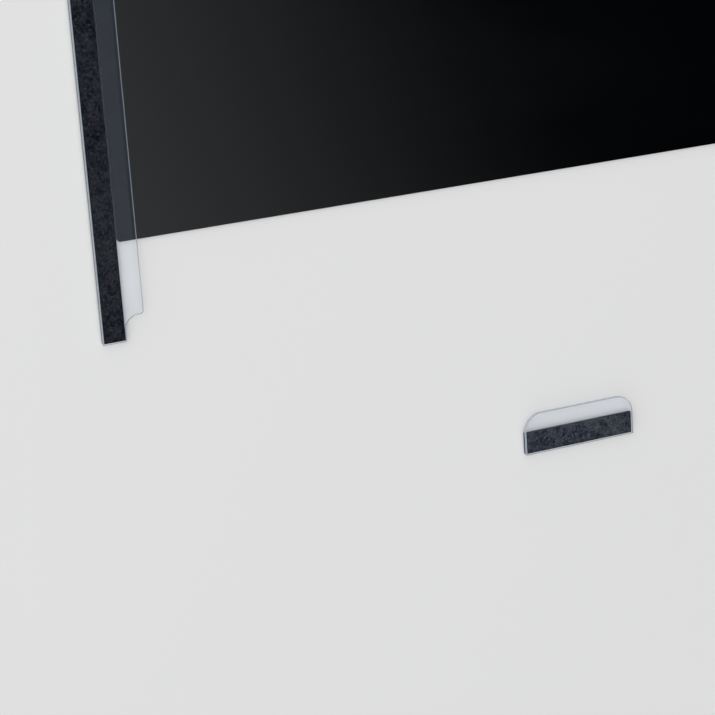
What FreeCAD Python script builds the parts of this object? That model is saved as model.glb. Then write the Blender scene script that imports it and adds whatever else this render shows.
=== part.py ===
import FreeCAD, Part
import os

import Sketcher
from FreeCAD import Placement, Rotation, Vector

# Slide-in privacy filter of the 24-inch wide size, lying on its back.
#
# A dark filter sheet slides up and down behind the clear lips of two side strips. Two clear tabs
# stop it at the bottom and hold its lower edge. Each strip and tab is stuck down by an adhesive
# pad behind its base. The pads are thicker than the sheet, so that the lips leave a slot for it.
#
# Frame, in millimetres: X runs across the filter, Y along its height, in the direction in which
# it slides out, and Z out of its front. Z = 0 is the plane that the pads stick to and that the
# sheet's back lies on. The origin is the middle of the whole set on that plane.

doc = FreeCAD.newDocument("privacy_filter")

# Driving dimensions: alias, millimetres, meaning
DIMENSIONS = [
    ("sheet_width", 531.2, "filter sheet, across"),
    ("sheet_height", 299.0, "filter sheet, along its slide"),
    ("sheet_thickness", 0.5, "filter sheet, laminated"),
    ("sheet_corner", 0.8, "radius of the sheet's die-cut corners"),
    ("sheet_lift", 63.7, "from the tabs' pads up to the sheet's lower edge"),
    ("clear_thickness", 0.8, "clear plastic of the strips and tabs"),
    ("edge_break", 0.2, "bevel round the front of the clear plastic"),
    ("slot_clearance", 0.3, "between the sheet's front and a lip's back"),
    ("edge_clearance", 0.3, "between the sheet's side edge and a side pad"),
    ("strip_length", 216.0, "side strip, end to end"),
    ("strip_start", 41.0, "from the tabs' pads up to the strips' lower ends"),
    ("strip_base", 5.6, "width of a strip's base, which its pad backs"),
    ("strip_lip", 4.6, "how far a strip's lip reaches past its base"),
    ("lip_setback", 5.8, "how far a strip's lip stops short of its ends"),
    ("lip_cove", 3.4, "radius of the cove between a strip's base and its lip"),
    ("lip_corner", 0.8, "radius of a strip lip's free corners"),
    ("tab_width", 30.0, "bottom tab, across"),
    ("tab_base", 5.5, "height of a tab's base, which its pad backs"),
    ("tab_lip", 4.8, "how far a tab's lip reaches past its base"),
    ("tab_corner", 4.5, "radius of a tab lip's corners"),
    ("tab_spacing", 304.6, "between the middles of the two tabs"),
    ("pad_margin", 0.15, "clear rim that a base leaves round its pad"),
]

dims = doc.addObject("Spreadsheet::Sheet", "dims")
for row, (alias, value, meaning) in enumerate(DIMENSIONS, start=1):
    dims.set(f"A{row}", alias)
    dims.set(f"B{row}", str(value))
    dims.setAlias(f"B{row}", alias)
    dims.set(f"C{row}", meaning)
doc.recompute()

# Sizes and places that follow from the driving dimensions, as expressions
PAD_THICKNESS = "(dims.sheet_thickness + dims.slot_clearance)"
SEAT_Y = "(-(dims.sheet_lift + dims.sheet_height - dims.tab_base) / 2)"
STRIP_X = "(dims.sheet_width / 2 + dims.edge_clearance)"
STRIP_Y = f"({SEAT_Y} + dims.strip_start + dims.strip_length / 2)"
TAB_X = "(dims.tab_spacing / 2)"
# A fillet stays within the wall that it rounds
COVE_RADIUS = "min(dims.lip_cove; 0.9 * (dims.strip_lip - dims.lip_corner); 0.9 * dims.lip_setback)"
TAB_RADIUS = "min(dims.tab_corner; dims.tab_lip; 0.45 * dims.tab_width)"

AS_DRAWN = Rotation()
HALF_TURN = Rotation(Vector(0, 0, 1), 180)
TOLERANCE = 1e-6

subparts = []


def size(alias):
    """A driving dimension's value, for finding edges."""
    return float(getattr(dims, alias))


def new_body(label, x, y, z, turn=AS_DRAWN):
    """An empty body whose place is bound to expressions."""
    body = doc.addObject("PartDesign::Body", label)
    body.Label = label
    body.Placement = Placement(Vector(), turn)
    for axis, expression in zip("xyz", (x, y, z)):
        body.setExpression(f"Placement.Base.{axis}", expression)
    subparts.append(body)
    return body


def new_sketch(body):
    """A sketch on the body's own XY plane."""
    sketch = body.newObject("Sketcher::SketchObject", f"{body.Name}_outline")
    plane = next(item for item in body.Origin.OriginFeatures if item.Role == "XY_Plane")
    sketch.AttachmentSupport = [(plane, "")]
    sketch.MapMode = "FlatFace"
    return sketch


def place_line(sketch, line, across, expression):
    """Binds a line's distance from the sketch's origin, or puts the line on the axis."""
    value = float(sketch.evalExpression(expression))
    if abs(value) < TOLERANCE:
        axis = -1 if across == "Y" else -2
        sketch.addConstraint(Sketcher.Constraint("PointOnObject", line, 1, axis))
        return
    origin, start = (-1, 1), (line, 1)
    points = origin + start if value > 0 else start + origin
    length = expression if value > 0 else f"-({expression})"
    constraint = Sketcher.Constraint(f"Distance{across}", *points, abs(value))
    name = f"line_{line}"
    sketch.renameConstraint(sketch.addConstraint(constraint), name)
    sketch.setExpression(f"Constraints.{name}", length)


def draw_outline(sketch, corners):
    """A closed outline of level and upright lines. A corner is a pair of expressions."""
    points = [Vector(*(float(sketch.evalExpression(e)) for e in corner), 0) for corner in corners]
    count = len(points)
    for line in range(count):
        sketch.addGeometry(Part.LineSegment(points[line], points[(line + 1) % count]))
    for line in range(count):
        sketch.addConstraint(Sketcher.Constraint("Coincident", line, 2, (line + 1) % count, 1))
    for line, (x, y) in enumerate(corners):
        level = abs(points[line].y - points[(line + 1) % count].y) < TOLERANCE
        sketch.addConstraint(Sketcher.Constraint("Horizontal" if level else "Vertical", line))
        place_line(sketch, line, "Y" if level else "X", y if level else x)


def make_plate(body, corners, thickness):
    """A flat plate of the given outline, standing on the body's own plane."""
    sketch = new_sketch(body)
    draw_outline(sketch, corners)
    plate = body.newObject("PartDesign::Pad", f"{body.Name}_plate")
    plate.Profile = sketch
    plate.setExpression("Length", thickness)
    doc.recompute()
    return plate


def rectangle(left, low, right, high):
    """A rectangle's corners, as pairs of expressions."""
    return [(left, low), (right, low), (right, high), (left, high)]


def is_upright_at(edge, places):
    """Whether an edge stands upright at one of the (x, y) places."""
    low, high = edge.Vertexes[0].Point, edge.Vertexes[-1].Point
    if (high - low).cross(Vector(0, 0, 1)).Length > TOLERANCE:
        return False
    return any(abs(low.x - x) + abs(low.y - y) < TOLERANCE for x, y in places)


def round_corners(body, base, places, radius, name):
    """Fillets the upright edges at the given (x, y) places of the body."""
    edges = [
        f"Edge{number}"
        for number, edge in enumerate(base.Shape.Edges, start=1)
        if is_upright_at(edge, places)
    ]
    if len(edges) != len(places):
        raise RuntimeError(f"{body.Label}: found {len(edges)} of {len(places)} {name}")
    fillet = body.newObject("PartDesign::Fillet", f"{body.Name}_{name}")
    fillet.Base = (base, edges)
    fillet.setExpression("Radius", radius)
    doc.recompute()
    return fillet


def bevel_front(body, base):
    """Breaks the sharp edge all round a clear plate's front."""
    front = size("clear_thickness")
    edges = [
        f"Edge{number}"
        for number, edge in enumerate(base.Shape.Edges, start=1)
        if abs(edge.BoundBox.ZMin - front) + abs(edge.BoundBox.ZMax - front) < TOLERANCE
    ]
    bevel = body.newObject("PartDesign::Chamfer", f"{body.Name}_bevel")
    bevel.Base = (base, edges)
    bevel.setExpression("Size", "dims.edge_break")
    doc.recompute()


def make_sheet():
    """The filter sheet: one flat laminate with die-cut corners."""
    body = new_body("filter_sheet", "0", f"{SEAT_Y} + dims.sheet_lift", "0")
    half = "dims.sheet_width / 2"
    outline = rectangle(f"-{half}", "0", half, "dims.sheet_height")
    plate = make_plate(body, outline, "dims.sheet_thickness")
    x, y = size("sheet_width") / 2, size("sheet_height")
    places = [(-x, 0), (x, 0), (x, y), (-x, y)]
    round_corners(body, plate, places, "dims.sheet_corner", "corners")


def make_strip(label, x, turn):
    """A clear side strip. Its own X is 0 where its base, on the negative side, meets its lip. It
    is alike at both ends, so that a half turn makes the other side's strip of it."""
    body = new_body(label, x, STRIP_Y, PAD_THICKNESS, turn)
    end = "dims.strip_length / 2"
    lip_end = f"({end} - dims.lip_setback)"
    outline = [
        ("-dims.strip_base", f"-{end}"),
        ("0", f"-{end}"),
        ("0", f"-{lip_end}"),
        ("dims.strip_lip", f"-{lip_end}"),
        ("dims.strip_lip", lip_end),
        ("0", lip_end),
        ("0", end),
        ("-dims.strip_base", end),
    ]
    plate = make_plate(body, outline, "dims.clear_thickness")
    reach = size("strip_length") / 2 - size("lip_setback")
    coved = round_corners(body, plate, [(0, -reach), (0, reach)], COVE_RADIUS, "coves")
    lip = size("strip_lip")
    places = [(lip, -reach), (lip, reach)]
    bevel_front(body, round_corners(body, coved, places, "dims.lip_corner", "corners"))


def make_strip_pad(label, x, turn):
    """The adhesive pad behind a side strip's base."""
    body = new_body(label, x, STRIP_Y, "0", turn)
    end = "(dims.strip_length / 2 - dims.pad_margin)"
    outer = "-(dims.strip_base - dims.pad_margin)"
    make_plate(body, rectangle(outer, f"-{end}", "0", end), PAD_THICKNESS)


def make_tab(label, x):
    """A clear bottom tab. Its own Y is 0 where its base meets its lip."""
    body = new_body(label, x, SEAT_Y, PAD_THICKNESS)
    half = "dims.tab_width / 2"
    outline = rectangle(f"-{half}", "-dims.tab_base", half, "dims.tab_lip")
    plate = make_plate(body, outline, "dims.clear_thickness")
    across, up = size("tab_width") / 2, size("tab_lip")
    places = [(-across, up), (across, up)]
    bevel_front(body, round_corners(body, plate, places, TAB_RADIUS, "corners"))


def make_tab_pad(label, x):
    """The adhesive pad behind a bottom tab's base, on which the sheet's lower edge comes down."""
    body = new_body(label, x, SEAT_Y, "0")
    half = "(dims.tab_width / 2 - dims.pad_margin)"
    low = "-(dims.tab_base - dims.pad_margin)"
    make_plate(body, rectangle(f"-{half}", low, half, "0"), PAD_THICKNESS)


make_sheet()
for side, sign, turn in (("left", "-", AS_DRAWN), ("right", "", HALF_TURN)):
    make_strip(f"{side}_side_strip", f"{sign}{STRIP_X}", turn)
    make_strip_pad(f"{side}_side_pad", f"{sign}{STRIP_X}", turn)
    make_tab(f"{side}_bottom_tab", f"{sign}{TAB_X}")
    make_tab_pad(f"{side}_bottom_pad", f"{sign}{TAB_X}")
doc.recompute()

# Every object and every sub-part's solid has to be sound before anything is written
for item in doc.Objects:
    if {"Invalid", "Error"} & set(item.State):
        raise RuntimeError(f"{item.Label} failed: {item.State}")
for body in subparts:
    if body.Shape.isNull() or not body.Shape.isValid() or len(body.Shape.Solids) != 1:
        raise RuntimeError(f"{body.Label} is not one sound solid")

os.makedirs("parts", exist_ok=True)
for body in subparts:
    body.Shape.exportStep(f"parts/{body.Label}.step")
    box = body.Shape.BoundBox
    print(
        f"{body.Label}: volume {body.Shape.Volume:.1f} mm3, "
        f"X {box.XMin:.2f} to {box.XMax:.2f}, Y {box.YMin:.2f} to {box.YMax:.2f}, "
        f"Z {box.ZMin:.2f} to {box.ZMax:.2f}"
    )
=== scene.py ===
# %% [markdown]
# A privacy filter and the clear holders that it slides in
#
# The object is a dark sheet of film with a clear plastic strip down each side and two clear tabs
# below. Each strip and tab has a base, which an adhesive pad sticks down, and a lip, which reaches
# over the edge of the sheet. The sheet slides up and down behind the lips.
# The solids of all nine pieces come in as a frame, at their real size in metres. This lesson keeps
# every piece where the frame has it, and gives it the edges and the finish of the real one.

# %% Load the frame
from math import pi, radians

import bmesh
import bpy
from mathutils import Matrix, Vector


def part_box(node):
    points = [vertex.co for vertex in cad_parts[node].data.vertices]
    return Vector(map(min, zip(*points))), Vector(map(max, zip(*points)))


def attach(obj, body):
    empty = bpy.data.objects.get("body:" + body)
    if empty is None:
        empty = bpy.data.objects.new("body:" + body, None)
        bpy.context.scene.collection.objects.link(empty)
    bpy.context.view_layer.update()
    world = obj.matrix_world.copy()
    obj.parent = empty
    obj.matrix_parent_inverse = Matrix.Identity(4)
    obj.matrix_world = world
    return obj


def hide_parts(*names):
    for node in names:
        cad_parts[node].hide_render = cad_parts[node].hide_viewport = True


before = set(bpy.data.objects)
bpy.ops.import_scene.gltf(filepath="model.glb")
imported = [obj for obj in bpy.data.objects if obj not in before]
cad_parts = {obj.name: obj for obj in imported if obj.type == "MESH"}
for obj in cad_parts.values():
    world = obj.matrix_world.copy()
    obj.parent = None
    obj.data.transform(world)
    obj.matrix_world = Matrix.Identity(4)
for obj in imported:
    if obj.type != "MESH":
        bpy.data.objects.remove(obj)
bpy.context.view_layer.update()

MILLIMETRE = 0.001
print("solids:", sorted(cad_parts))


# %% [markdown]
# Sums on sockets
#
# A finish is a recipe such as "haze, and frost where the edge is". In the node editor each plus and
# times is a node of its own. A small class that wraps a socket lets Python write the recipe as a
# sum, and adds the nodes itself. The same class serves materials, the sky and Geometry Nodes,
# because all three use the same Math node.

# %% A socket that can be reckoned with
# Where a Mix node keeps the sockets that it uses for colours
MIX_FACTOR, MIX_FIRST, MIX_SECOND, MIX_COLOUR = 0, 6, 7, 2
# How many finer layers a noise pattern has
SMOOTH, PLAIN, FINE, FINEST = 1.0, 2.0, 3.0, 4.0


class Wire:
    """An output socket of a node tree. Sums on it add Math nodes to the same tree."""

    def __init__(self, tree, socket):
        self.tree = tree
        self.socket = socket

    def node(self, kind, settings, inputs, output=0):
        """Adds a node: its settings first, then its sockets' values or links. A list is many links."""
        made = self.tree.nodes.new(kind)
        for name, value in settings.items():
            setattr(made, name, value)
        for name, value in inputs.items():
            for source in value if isinstance(value, list) else [value]:
                if isinstance(source, Wire):
                    self.tree.links.new(source.socket, made.inputs[name])
                else:
                    made.inputs[name].default_value = source
        return Wire(self.tree, made.outputs[output]) if made.outputs else None

    def beside(self, output):
        """Another output of the same node."""
        return Wire(self.tree, self.socket.node.outputs[output])

    def maths(self, operation, other=0.0):
        """A Math node on this value and then another."""
        return self.node("ShaderNodeMath", {"operation": operation}, {0: self, 1: other})

    def maths_after(self, operation, other):
        """A Math node on another value and then this one."""
        return self.node("ShaderNodeMath", {"operation": operation}, {0: other, 1: self})

    def __add__(self, other):
        return self.maths("ADD", other)

    def __sub__(self, other):
        return self.maths("SUBTRACT", other)

    def __rsub__(self, other):
        return self.maths_after("SUBTRACT", other)

    def __mul__(self, other):
        return self.maths("MULTIPLY", other)

    def __truediv__(self, other):
        return self.maths("DIVIDE", other)

    def __rtruediv__(self, other):
        return self.maths_after("DIVIDE", other)

    def __pow__(self, other):
        return self.maths("POWER", other)

    __radd__ = __add__
    __rmul__ = __mul__

    def __neg__(self):
        return self.maths("MULTIPLY", -1.0)

    def __abs__(self):
        return self.maths("ABSOLUTE")

    def part(self, axis):
        """One coordinate of a vector: 0, 1 or 2."""
        return self.node("ShaderNodeSeparateXYZ", {}, {0: self}, axis)

    def rise(self, low, high):
        """0 below low and 1 above high, with a soft ramp between them."""
        limits = {"Value": self, "From Min": low, "From Max": high}
        return self.node("ShaderNodeMapRange", {"interpolation_type": "SMOOTHSTEP"}, limits)

    def blend(self, first, second):
        """The first colour where this is 0, and the second where it is 1."""
        colours = {MIX_FACTOR: self, MIX_FIRST: first, MIX_SECOND: second}
        return self.node("ShaderNodeMix", {"data_type": "RGBA"}, colours, MIX_COLOUR)

    def stretched(self, factors):
        """Coordinates that draw a pattern out along the three axes by those factors."""
        return self.node("ShaderNodeVectorMath", {"operation": "DIVIDE"}, {0: self, 1: factors})

    def clouds(self, size, detail=PLAIN, draw=0.0):
        """Noise with blots of about that size in metres. Another draw is another pattern."""
        knobs = {"Vector": self, "W": draw, "Scale": 1 / size, "Detail": detail}
        return self.node("ShaderNodeTexNoise", {"noise_dimensions": "4D"}, knobs)

    def bump(self, height):
        """A normal tilted by this pattern, whose swing from 0 to 1 stands for that height in metres."""
        return self.node("ShaderNodeBump", {}, {"Height": self, "Distance": height, "Strength": 1.0})


print("sums on sockets are ready")


# %% A new finish
def new_finish(name):
    """A material with an empty tree, and its Object coordinates to build on."""
    material = bpy.data.materials.new(name)
    material.use_nodes = True
    tree = material.node_tree
    tree.nodes.clear()
    return material, Wire(tree, tree.nodes.new("ShaderNodeTexCoord").outputs["Object"])


def show(shader):
    """Sends a shader to the output of its material."""
    shader.node("ShaderNodeOutputMaterial", {}, {"Surface": shader})


print("a finish starts from Object coordinates")


# %% [markdown]
# The film
#
# The sheet is a laminate half a millimetre thick: two clear skins with a dark louvred core between
# them. From the front it is a deep grey with a satin face, which blurs what it reflects. A little
# light comes through, so it is not quite solid. At the cut edge the skins show as a paler line on
# each side of the core, and that paler line is also a painted highlight where the edge catches the
# light. The louvres are a tenth of a millimetre apart and can't be told apart at this distance, so
# they are left as an even tone. What shows is a fine grain and faint wipe marks, and those are noise
# patterns at their real sizes.

# %% The finish of the film
FILM_DEEP, FILM_GREY = (0.0004, 0.0006, 0.0009, 1), (0.0008, 0.0010, 0.0013, 1)
# The skins' edge colour is partly their pale cut edge and partly a painted highlight where the edge
# catches the light
SKIN_EDGE_AND_HIGHLIGHT, CORE_EDGE = (0.12, 0.125, 0.13, 1), (0.020, 0.021, 0.023, 1)
FILM_SHINE, FILM_SHEEN, FILM_THROUGH = 0.5, (0.93, 1.0, 1.03, 1), 0.03
FILM_DRIFT = 0.08
FILM_GRAIN, FILM_GRAIN_HEIGHT = 0.00035, 0.000003
# A mark begins to show where its noise passes the first limit, and is at its full past the second
WIPE, WIPE_STRETCH, WIPE_SHOWS = 0.02, (4, 1, 1), (0.35, 0.75)
SATIN, WIPE_ROUGHER, EDGE_ROUGHER = 0.11, 0.04, 0.25
# The upright share of a normal at which a cut edge ends and a flat face begins
FILM_FLAT = (0.55, 0.95)
# Where the core begins and ends, in millimetres above the back
CORE_BEGINS, CORE_ENDS = (0.10, 0.16), (0.34, 0.40)


def film_finish():
    material, place = new_finish("louvred_film")
    edge = 1 - abs(place.beside("Normal").part(2)).rise(*FILM_FLAT)
    height = place.part(2) / MILLIMETRE
    core = height.rise(*CORE_BEGINS) * (1 - height.rise(*CORE_ENDS))
    face = place.clouds(FILM_DRIFT).blend(FILM_DEEP, FILM_GREY)
    wiped = place.stretched(WIPE_STRETCH).clouds(WIPE, FINE).rise(*WIPE_SHOWS)
    show(place.node("ShaderNodeBsdfPrincipled", {}, {
        "Base Color": edge.blend(face, core.blend(SKIN_EDGE_AND_HIGHLIGHT, CORE_EDGE)),
        "Roughness": SATIN + WIPE_ROUGHER * wiped + EDGE_ROUGHER * edge,
        "Specular IOR Level": FILM_SHINE,
        "Specular Tint": FILM_SHEEN,
        "Alpha": 1 - FILM_THROUGH,
        "Normal": place.clouds(FILM_GRAIN, SMOOTH).bump(FILM_GRAIN_HEIGHT),
    }))
    return material


film_material = film_finish()
print("film finish:", len(film_material.node_tree.nodes), "nodes")


# %% [markdown]
# Edges that catch the light
#
# The solids have the true outlines, with the cove at the end of a strip's lip and the round corners
# of a tab, but their edges are perfectly sharp, and no cut edge is. Modelling the plates again would
# repeat sizes that the frame already holds. So a copy of the solid is merged, its flat faces are
# dissolved back into single faces, and a Bevel modifier takes a few hundredths of a millimetre off
# every edge. Hardened normals keep the large faces flat while the tiny bevels shade round.

# %% A copy of a solid with softened edges
MERGE_WITHIN = 1e-6
SAME_PLANE, SHARP = radians(0.5), radians(30)
ROUNDING_STEPS = 3


def plain(piece):
    """Gives the piece the mesh that its modifiers make, and removes the modifiers."""
    made = piece.evaluated_get(bpy.context.evaluated_depsgraph_get())
    mesh = bpy.data.meshes.new_from_object(made)
    piece.modifiers.clear()
    piece.data = mesh
    return piece


def new_piece(name, mesh):
    """An object at the origin, which shows that mesh."""
    piece = bpy.data.objects.new(name, mesh)
    bpy.context.collection.objects.link(piece)
    return piece


def softened(name, node, rounding, material):
    """A copy of a solid, with every edge rounded by that much."""
    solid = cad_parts[node].data
    mesh = bpy.data.meshes.new(name)
    corners = [corner.co for corner in solid.vertices]
    mesh.from_pydata(corners, [], [face.vertices[:] for face in solid.polygons])
    shape = bmesh.new()
    shape.from_mesh(mesh)
    bmesh.ops.remove_doubles(shape, verts=shape.verts, dist=MERGE_WITHIN)
    bmesh.ops.dissolve_limit(shape, angle_limit=SAME_PLANE, verts=shape.verts, edges=shape.edges)
    shape.to_mesh(mesh)
    shape.free()
    mesh.shade_smooth()
    mesh.materials.append(material)
    piece = new_piece(name, mesh)
    bevel = piece.modifiers.new("rounding", "BEVEL")
    bevel.width = rounding
    bevel.segments = ROUNDING_STEPS
    bevel.limit_method = "ANGLE"
    bevel.angle_limit = SHARP
    bevel.harden_normals = True
    return plain(piece)


print("edges sharper than", round(SHARP, 2), "radians are rounded in", ROUNDING_STEPS, "steps")

# %% The sheet of film
FILM_ROUNDING = 0.00004
film = softened("film", "filter_sheet", FILM_ROUNDING, film_material)
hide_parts("filter_sheet")
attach(film, "filter")
print("film:", len(film.data.polygons), "faces")


# %% [markdown]
# Clear plastic with frosted edges
#
# The strips and tabs are stamped from clear sheet. Their faces are polished and show what is behind
# them with a faint blue haze, a few hairline scratches and a gloss that grows towards a grazing view.
# Their cut edges are frosted: they scatter light, and draw an outline that is pale over the dark
# film and grey blue over a pale floor. Glass that bends light would be true to the plastic, but in a
# plate this thin the bend is too small to see, and it makes noise. A Transparent shader mixed with a
# solid one by a mask gives both looks: the mask is nearly 0 on the faces and high where the normal
# leaves the plate's axis. Where a pad wets the back of the plastic, nothing scatters, so a base is
# clearer than a lip. Gloss is mixed in last, on the front alone, by the fifth power of how far the
# face is turned from the eye, which is close to how the gloss of real plastic grows.

# %% The finish of the clear plastic
CLEAR_TINT, HAZE_BLUE = (0.981, 0.986, 0.994, 1), (0.42, 0.52, 0.74, 1)
FROST_BLUE, GLOSS_WHITE = (0.36, 0.41, 0.48, 1), (1, 1, 1, 1)
HAZE_SHARE, SMUDGE_SHARE, SCRATCH_SHARE, FROST_SHARE = 0.016, 0.003, 0.020, 0.70
SCRATCH, SCRATCH_STRETCH, SCRATCH_SHOWS = 0.0005, (1, 24, 1), (0.60, 0.72)
SMUDGE, SMUDGE_SHOWS = 0.007, (0.40, 0.75)
FROST_GRAIN, FROST_GRAIN_HEIGHT = 0.0002, 0.00003
FROST_ROUGH, GRAIN_ROUGHER = 0.35, 0.2
GLOSS_ROUGH, SMUDGE_ROUGHER = 0.12, 0.08
# At this blend, Facing is 1 less the cosine of the angle to the eye
FACING_BLEND, GRAZING_POWER = 0.5, 5
CLEAR_FLAT = (0.78, 0.98)
# The lines, across and along, that the pads' inner edges lie on
SIDE_LINE, BOTTOM_LINE = -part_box("left_side_pad")[1].x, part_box("left_bottom_pad")[1].y
WET_BLUR = 0.0001


def clear_finish():
    material, place = new_finish("clear_plastic")
    edge = 1 - abs(place.beside("Normal").part(2)).rise(*CLEAR_FLAT)
    hairlines = place.stretched(SCRATCH_STRETCH).clouds(SCRATCH).rise(*SCRATCH_SHOWS)
    smudge = place.clouds(SMUDGE, FINE).rise(*SMUDGE_SHOWS)
    grain = place.clouds(FROST_GRAIN)
    on_side_pad = abs(place.part(0)).rise(SIDE_LINE - WET_BLUR, SIDE_LINE + WET_BLUR)
    on_bottom_pad = 1 - place.part(1).rise(BOTTOM_LINE - WET_BLUR, BOTTOM_LINE + WET_BLUR)
    dry = 1 - on_side_pad.maths("MAXIMUM", on_bottom_pad)
    haze = dry * (HAZE_SHARE + smudge * (SMUDGE_SHARE + SCRATCH_SHARE * hairlines))
    frost = place.node("ShaderNodeBsdfPrincipled", {}, {
        "Base Color": edge.blend(HAZE_BLUE, FROST_BLUE),
        "Roughness": FROST_ROUGH + GRAIN_ROUGHER * grain,
        "Normal": (grain * edge).bump(FROST_GRAIN_HEIGHT),
    })
    clear = place.node("ShaderNodeBsdfTransparent", {}, {"Color": CLEAR_TINT})
    solid_share = haze + edge * (FROST_SHARE - haze)
    plate = place.node("ShaderNodeMixShader", {}, {0: solid_share, 1: clear, 2: frost})
    aslant = place.node("ShaderNodeLayerWeight", {}, {"Blend": FACING_BLEND}, "Facing")
    inside = place.node("ShaderNodeNewGeometry", {}, {}, "Backfacing")
    gloss_share = (1 - inside) * aslant ** GRAZING_POWER
    gloss = place.node("ShaderNodeBsdfGlossy", {}, {
        "Color": GLOSS_WHITE,
        "Roughness": GLOSS_ROUGH + SMUDGE_ROUGHER * smudge,
    })
    show(place.node("ShaderNodeMixShader", {}, {0: gloss_share, 1: plate, 2: gloss}))
    return material


clear_material = clear_finish()
print("clear finish:", len(clear_material.node_tree.nodes), "nodes")

# %% The strips and the tabs
CLEAR_ROUNDING = 0.00005
for node in ("left_side_strip", "left_bottom_tab", "right_side_strip", "right_bottom_tab"):
    plate = softened("clear_" + node, node, CLEAR_ROUNDING, clear_material)
    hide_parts(node)
    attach(plate, "mounts")
    print(plate.name, len(plate.data.polygons), "faces")


# %% [markdown]
# The adhesive
#
# Behind each base is a pad of dark adhesive. Seen through the clear plastic it is not even: the
# adhesive wets the plastic in navy blots, stays grey between them, and traps small pockets of air,
# which show as paler flecks. Where it is wet it has no shine of its own, so its gloss is nearly 0.
# The long pads are dark and the short pads of the tabs are paler, and that difference is painted
# light and shade: both use the same colours, made darker or lighter as if less or more light fell
# on them. One recipe makes both: stains, blots and specks are three sizes of noise between a deep
# and a pale colour, a share darkens or lightens them all as painted shade or light, and a draw
# picks where the large stains fall.

# %% The finishes of the pad and of the air in it
PAD_NAVY, PAD_GREY = (0.0018, 0.0036, 0.0090), (0.0365, 0.0390, 0.0455)
AIR_DULL, AIR_PALE = (0.0240, 0.0275, 0.0350), (0.0460, 0.0510, 0.0600)
# Painted shade and light: the side pads' colours are darkened and the bottom pads' lightened by these
# shares
PAINTED_SHADE_SHARE, PAINTED_LIGHT_SHARE = 0.9, 2.0
SIDE_DRAW, BOTTOM_DRAW = 6.0, 0.0
STAIN, BLOT, SPECK, SPECK_HEIGHT = 0.020, 0.0014, 0.0006, 0.00002
STAIN_SHARE, BLOT_SHARE, SPECK_SHARE = 0.20, 0.38, 0.42
MOTTLE_SHOWS = (0.38, 0.62)
PAD_ROUGH, BLOT_ROUGHER, PAD_SHINE = 0.55, 0.3, 0.03
SHIMMER, SHIMMER_SHOWS = 0.0004, (0.35, 0.70)
AIR_ROUGH, SHIMMER_ROUGHER, AIR_SHINE = 0.35, 0.2, 0.1


def lit(colour, share):
    """A colour made lighter or darker by a share, which paints light or shade into it."""
    return (*(share * part for part in colour), 1)


def pad_finish(name, share, draw):
    material, place = new_finish(name)
    stains = place.clouds(STAIN, SMOOTH, draw).rise(*MOTTLE_SHOWS)
    blots = place.clouds(BLOT).rise(*MOTTLE_SHOWS)
    specks = place.clouds(SPECK, SMOOTH).rise(*MOTTLE_SHOWS)
    tone = STAIN_SHARE * stains + BLOT_SHARE * blots + SPECK_SHARE * specks
    show(place.node("ShaderNodeBsdfPrincipled", {}, {
        "Base Color": tone.blend(lit(PAD_NAVY, share), lit(PAD_GREY, share)),
        "Roughness": PAD_ROUGH + BLOT_ROUGHER * blots,
        "Specular IOR Level": PAD_SHINE,
        "Normal": specks.bump(SPECK_HEIGHT),
    }))
    return material


def air_finish(name, share):
    material, place = new_finish(name)
    shimmer = place.clouds(SHIMMER)
    pale = shimmer.rise(*SHIMMER_SHOWS)
    show(place.node("ShaderNodeBsdfPrincipled", {}, {
        "Base Color": pale.blend(lit(AIR_DULL, share), lit(AIR_PALE, share)),
        "Roughness": AIR_ROUGH + SHIMMER_ROUGHER * shimmer,
        "Specular IOR Level": AIR_SHINE,
    }))
    return material


# The side pads and their air get painted shade, and the bottom pads and their air get painted light
adhesives = {
    "side": (
        pad_finish("adhesive_painted_shade", PAINTED_SHADE_SHARE, SIDE_DRAW),
        air_finish("air_painted_shade", PAINTED_SHADE_SHARE),
    ),
    "bottom": (
        pad_finish("adhesive_painted_light", PAINTED_LIGHT_SHARE, BOTTOM_DRAW),
        air_finish("air_painted_light", PAINTED_LIGHT_SHARE),
    ),
}
print("adhesive finishes:", [finish.name for pair in adhesives.values() for finish in pair])


# %% [markdown]
# A pad made by rule
#
# A pad is a thin slab with a slightly uneven rim, where the adhesive crept under pressure, a pebbled
# front, and hundreds of air pockets. All of that follows from a few sizes, so it is a Geometry Nodes
# tree: a grid whose rim is drawn in by noise, extruded to the pad's thickness, with a relief on its
# front, and flattened beads scattered over that front by a fixed seed. The four pads are the same
# tree with other sizes and finishes. The result is made a plain mesh, because a finished piece
# carries no tree.

# %% The slab of a pad
PAD_SIZES = {
    "Width": 0.005,
    "Length": 0.030,
    "Thickness": 0.0008,
    "Step": 0.0004,
    "Rim": 0.0008,
    "Creep": 0.00003,
    "Creep Wave": 0.0014,
    "Relief": 0.00003,
    "Pebble": 0.0010,
    "Pocket": 0.00032,
    "Pocket Gap": 0.0009,
    "Pockets per Area": 400000.0,
}
EXTENTS = ("Width", "Length")


def from_rim(given, place, axis):
    """How far inside the rim a point lies along one axis."""
    return given[EXTENTS[axis]] / 2 - abs(place.part(axis))


def drawn_in(given, place, axis, uneven):
    """How far the rim creeps back along one axis: only near that rim, and by noise."""
    side = place.part(axis).maths("SIGN")
    near = (1 - from_rim(given, place, axis) / given["Rim"]).maths("MAXIMUM")
    return -(side * near * uneven * given["Creep"])


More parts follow.
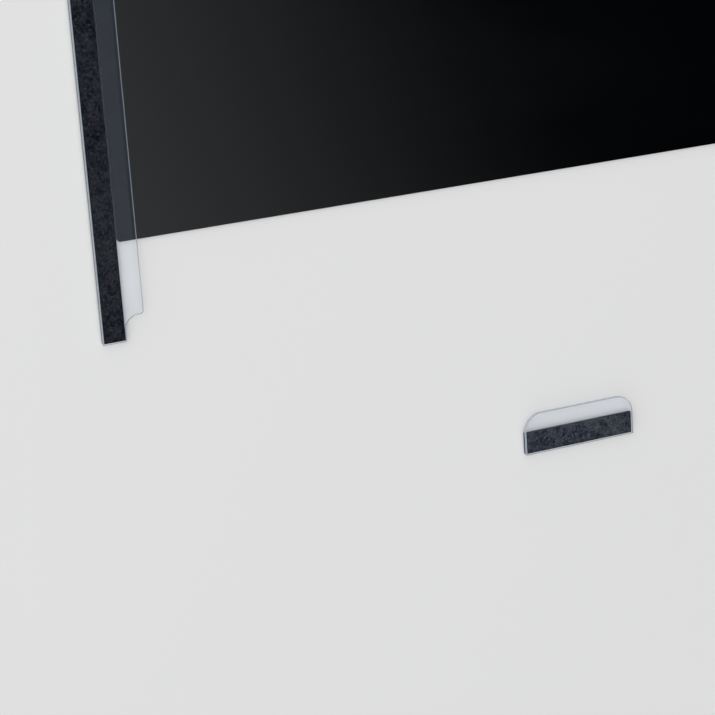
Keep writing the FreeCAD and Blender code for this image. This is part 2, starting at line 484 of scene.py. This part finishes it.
def slab_parts(given, place):
    """The slab's sole, the block that is drawn up from it, and which faces are the block's front."""
    grid = place.node("GeometryNodeMeshGrid", {}, {
        "Size X": given["Width"],
        "Size Y": given["Length"],
        "Vertices X": given["Width"] / given["Step"] + 1,
        "Vertices Y": given["Length"] / given["Step"] + 1,
    })
    uneven = place.clouds(given["Creep Wave"], FINE, given["Seed"])
    sole = grid.node("GeometryNodeSetPosition", {}, {
        "Geometry": grid,
        "Offset": place.node("ShaderNodeCombineXYZ", {}, {
            "X": drawn_in(given, place, 0, uneven),
            "Y": drawn_in(given, place, 1, uneven),
        }),
    })
    block = sole.node("GeometryNodeExtrudeMesh", {}, {
        "Mesh": sole,
        "Offset Scale": given["Thickness"],
        "Individual": False,
    })
    front = block.beside("Top")
    pebbles = -(place.clouds(given["Pebble"], PLAIN, given["Seed"]) * given["Relief"])
    block = block.node("GeometryNodeSetPosition", {}, {
        "Geometry": block,
        "Selection": front,
        "Offset": pebbles.node("ShaderNodeCombineXYZ", {}, {"Z": pebbles}),
    })
    return sole, block, front


print("slab: a point every", PAD_SIZES["Step"] / MILLIMETRE, "mm")

# %% The air in a pad
# In shares of the pocket's size: its least and most along three axes, and its room from the rim
POCKET_LEAST, POCKET_MOST, POCKET_ROOM = (0.5, 0.4, 0.05), (1.2, 0.9, 0.07), 1.6
BEAD_SEGMENTS, BEAD_RINGS, BEAD_RADIUS = 8, 4, 1.0
# Where a Random Value node keeps the sockets that it uses for plain numbers
RANDOM_LOW, RANDOM_HIGH, RANDOM_NUMBER = 2, 3, 1


def air_pockets(given, place, block, front):
    """Flattened beads of many sizes, scattered over the front of the block and turned at random."""
    room = from_rim(given, place, 0).maths("MINIMUM", from_rim(given, place, 1))
    points = block.node("GeometryNodeDistributePointsOnFaces", {"distribute_method": "POISSON"}, {
        "Mesh": block,
        "Selection": front * room.maths("GREATER_THAN", given["Pocket"] * POCKET_ROOM),
        "Distance Min": given["Pocket Gap"],
        "Density Max": given["Pockets per Area"],
        "Seed": given["Seed"],
    })
    bead = points.node("GeometryNodeMeshUVSphere", {}, {
        "Segments": BEAD_SEGMENTS,
        "Rings": BEAD_RINGS,
        "Radius": BEAD_RADIUS,
    })
    spread = points.node("FunctionNodeRandomValue", {"data_type": "FLOAT_VECTOR"}, {
        "Min": POCKET_LEAST,
        "Max": POCKET_MOST,
        "Seed": given["Seed"],
    })
    turn = points.node("FunctionNodeRandomValue", {"data_type": "FLOAT"}, {
        RANDOM_LOW: 0.0,
        RANDOM_HIGH: pi,
        "Seed": given["Seed"] + 1,
    }, RANDOM_NUMBER)
    pockets = points.node("GeometryNodeInstanceOnPoints", {}, {
        "Points": points,
        "Instance": bead,
        "Rotation": turn.node("ShaderNodeCombineXYZ", {}, {"Z": turn}),
        "Scale": spread.node("ShaderNodeVectorMath", {"operation": "SCALE"}, {
            0: spread,
            "Scale": given["Pocket"],
        }),
    })
    pockets = pockets.node("GeometryNodeRealizeInstances", {}, {"Geometry": pockets})
    return pockets.node("GeometryNodeSetMaterial", {}, {"Geometry": pockets, "Material": given["Air"]})


print("air: pockets of about", PAD_SIZES["Pocket"] / MILLIMETRE, "mm")


# %% The tree of a pad
def pad_tree():
    """A pad by its sizes, its seed and its two finishes."""
    tree = bpy.data.node_groups.new("adhesive_pad", "GeometryNodeTree")
    for name, value in PAD_SIZES.items():
        made = tree.interface.new_socket(name, in_out="INPUT", socket_type="NodeSocketFloat")
        made.default_value = value
    for name, kind in (("Seed", "Int"), ("Adhesive", "Material"), ("Air", "Material")):
        tree.interface.new_socket(name, in_out="INPUT", socket_type="NodeSocket" + kind)
    tree.interface.new_socket("Pad", in_out="OUTPUT", socket_type="NodeSocketGeometry")
    given = {socket.name: Wire(tree, socket) for socket in tree.nodes.new("NodeGroupInput").outputs}
    place = given["Width"].node("GeometryNodeInputPosition", {}, {})
    sole, block, front = slab_parts(given, place)
    pockets = air_pockets(given, place, block, front)
    back = sole.node("GeometryNodeFlipFaces", {}, {"Mesh": sole})
    slab = block.node("GeometryNodeJoinGeometry", {}, {"Geometry": [block, back]})
    slab = slab.node("GeometryNodeMergeByDistance", {}, {"Geometry": slab, "Distance": MERGE_WITHIN})
    slab = slab.node("GeometryNodeSetMaterial", {}, {"Geometry": slab, "Material": given["Adhesive"]})
    pad = slab.node("GeometryNodeJoinGeometry", {}, {"Geometry": [slab, pockets]})
    pad.node("NodeGroupOutput", {}, {"Pad": pad})
    return tree


tree_of_pad = pad_tree()
print("pad tree:", len(tree_of_pad.nodes), "nodes")

# %% The four pads
PADS = ("left_side_pad", "left_bottom_pad", "right_side_pad", "right_bottom_pad")
# A slab is this much thinner than its solid, which leaves room for the beads on its front
AIR_ROOM = 0.000025
for seed, node in enumerate(PADS):
    adhesive, air = adhesives[node.split("_")[1]]
    low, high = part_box(node)
    sizes = {
        "Width": high.x - low.x,
        "Length": high.y - low.y,
        "Thickness": high.z - low.z - AIR_ROOM,
        "Seed": seed,
        "Adhesive": adhesive,
        "Air": air,
    }
    pad = new_piece("adhesive_" + node, bpy.data.meshes.new(node))
    maker = pad.modifiers.new("pad", "NODES")
    maker.node_group = tree_of_pad
    for socket in tree_of_pad.interface.items_tree:
        if socket.name in sizes:
            maker[socket.identifier] = sizes[socket.name]
    plain(pad)
    middle = (low + high) / 2
    pad.data.transform(Matrix.Translation((middle.x, middle.y, low.z)))
    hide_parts(node)
    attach(pad, "mounts")
    print(pad.name, len(pad.data.polygons), "faces")


# %% [markdown]
# A pale floor and soft light
#
# The set lies on its back on a pale floor. The floor is a little lower than the set, so that what
# shows of it in the slits beside the film lies in shadow. One large round softbox hangs high on
# the left, so that the frosted edges and the floor are bright and shadows are soft. It hangs to the
# left of where the film mirrors the view, and it is wide, so that from overhead it is no more than
# a faint glow in the film. What the film mirrors in the view is the sky, so the sky is bright over
# the left and dark over the right, with a soft fall between them, and the film darkens from left
# to right. At the horizon the sky is pale, which lights upright edges.

# %% The floor
FLOOR_PALE, FLOOR_WARM = (0.775, 0.777, 0.780, 1), (0.795, 0.795, 0.793, 1)
FLOOR_DRIFT, FLOOR_ROUGH, FLOOR_SHINE = 0.12, 0.85, 0.1
FLOOR_REACH, FLOOR_SIDES, FLOOR_DROP = 12.0, 64, 0.0004


def floor_finish():
    material, place = new_finish("pale_floor")
    show(place.node("ShaderNodeBsdfPrincipled", {}, {
        "Base Color": place.clouds(FLOOR_DRIFT, FINEST).blend(FLOOR_PALE, FLOOR_WARM),
        "Roughness": FLOOR_ROUGH,
        "Specular IOR Level": FLOOR_SHINE,
    }))
    return material


shape = bmesh.new()
bmesh.ops.create_circle(shape, cap_ends=True, radius=FLOOR_REACH, segments=FLOOR_SIDES)
bmesh.ops.translate(shape, verts=shape.verts, vec=(0, 0, -FLOOR_DROP))
floor = new_piece("floor", bpy.data.meshes.new("floor"))
shape.to_mesh(floor.data)
shape.free()
floor.data.materials.append(floor_finish())
print("floor:", 2 * FLOOR_REACH, "m across")

# %% The softbox
SOFTBOX_AT, SOFTBOX_AIM = Vector((-0.85, 0.15, 1.30)), Vector((-0.20, -0.12, 0.0))
SOFTBOX_WIDTH, SOFTBOX_WATTS = 1.40, 6.6

lamp = bpy.data.lights.new("softbox", "AREA")
lamp.shape = "DISK"
lamp.size = SOFTBOX_WIDTH
lamp.energy = SOFTBOX_WATTS
softbox = bpy.data.objects.new("softbox", lamp)
softbox.location = SOFTBOX_AT
softbox.rotation_euler = (SOFTBOX_AIM - SOFTBOX_AT).to_track_quat("-Z", "Y").to_euler()
bpy.context.collection.objects.link(softbox)
print("softbox:", SOFTBOX_WATTS, "W over", SOFTBOX_WIDTH, "m")

# %% The sky
SKY_PALE, SKY_BRIGHT = (0.72, 0.73, 0.74, 1), (1.06, 1.06, 1.06, 1)
SKY_DARK = (0.003, 0.003, 0.004, 1)
# How far up a direction points where the pale sky ends, and how far right where the sky falls to dark
HORIZON, SKY_FALL = (0.02, 0.30), (0.158, 0.430)
SKY_LEAN = 0.25

sky = bpy.data.worlds.new("soft_sky")
sky.use_nodes = True
sky.node_tree.nodes.clear()
bpy.context.scene.world = sky
direction = Wire(sky.node_tree, sky.node_tree.nodes.new("ShaderNodeTexCoord").outputs["Generated"])
to_the_right = direction.part(0) + SKY_LEAN * direction.part(1)
overhead = to_the_right.rise(*SKY_FALL).blend(SKY_BRIGHT, SKY_DARK)
glow = direction.node("ShaderNodeBackground", {}, {
    "Color": direction.part(2).rise(*HORIZON).blend(SKY_PALE, overhead),
})
glow.node("ShaderNodeOutputWorld", {}, {"Surface": glow})
print("sky:", len(sky.node_tree.nodes), "nodes")


# %% [markdown]
# The view
#
# The camera looks down on the lower left corner of the sheet from above its left side, through a
# long lens. A camera is placed by where it stands, what it looks at and which way is up in the
# picture. From those, three unit vectors give its right, its up and its back, and they are the
# columns of its matrix.

# %% The camera
STANDS_AT, LOOKS_AT = Vector((-0.43411, 0.01130, 0.52510)), Vector((-0.20974, -0.15166, 0.00043))
PICTURE_UP = Vector((0.1737, 0.9590, -0.2241))
LENS_MM, SENSOR_MM = 127.49, 36.0

lens = bpy.data.cameras.new("camera")
lens.lens = LENS_MM
lens.sensor_width = SENSOR_MM
camera = bpy.data.objects.new("camera", lens)
ahead = (LOOKS_AT - STANDS_AT).normalized()
right = ahead.cross(PICTURE_UP).normalized()
turn = Matrix((right, right.cross(ahead), -ahead)).transposed()
camera.matrix_world = Matrix.Translation(STANDS_AT) @ turn.to_4x4()
bpy.context.collection.objects.link(camera)
bpy.context.scene.camera = camera
bpy.context.scene.view_settings.view_transform = "Standard"
print("camera:", round((LOOKS_AT - STANDS_AT).length, 3), "m from what it looks at")
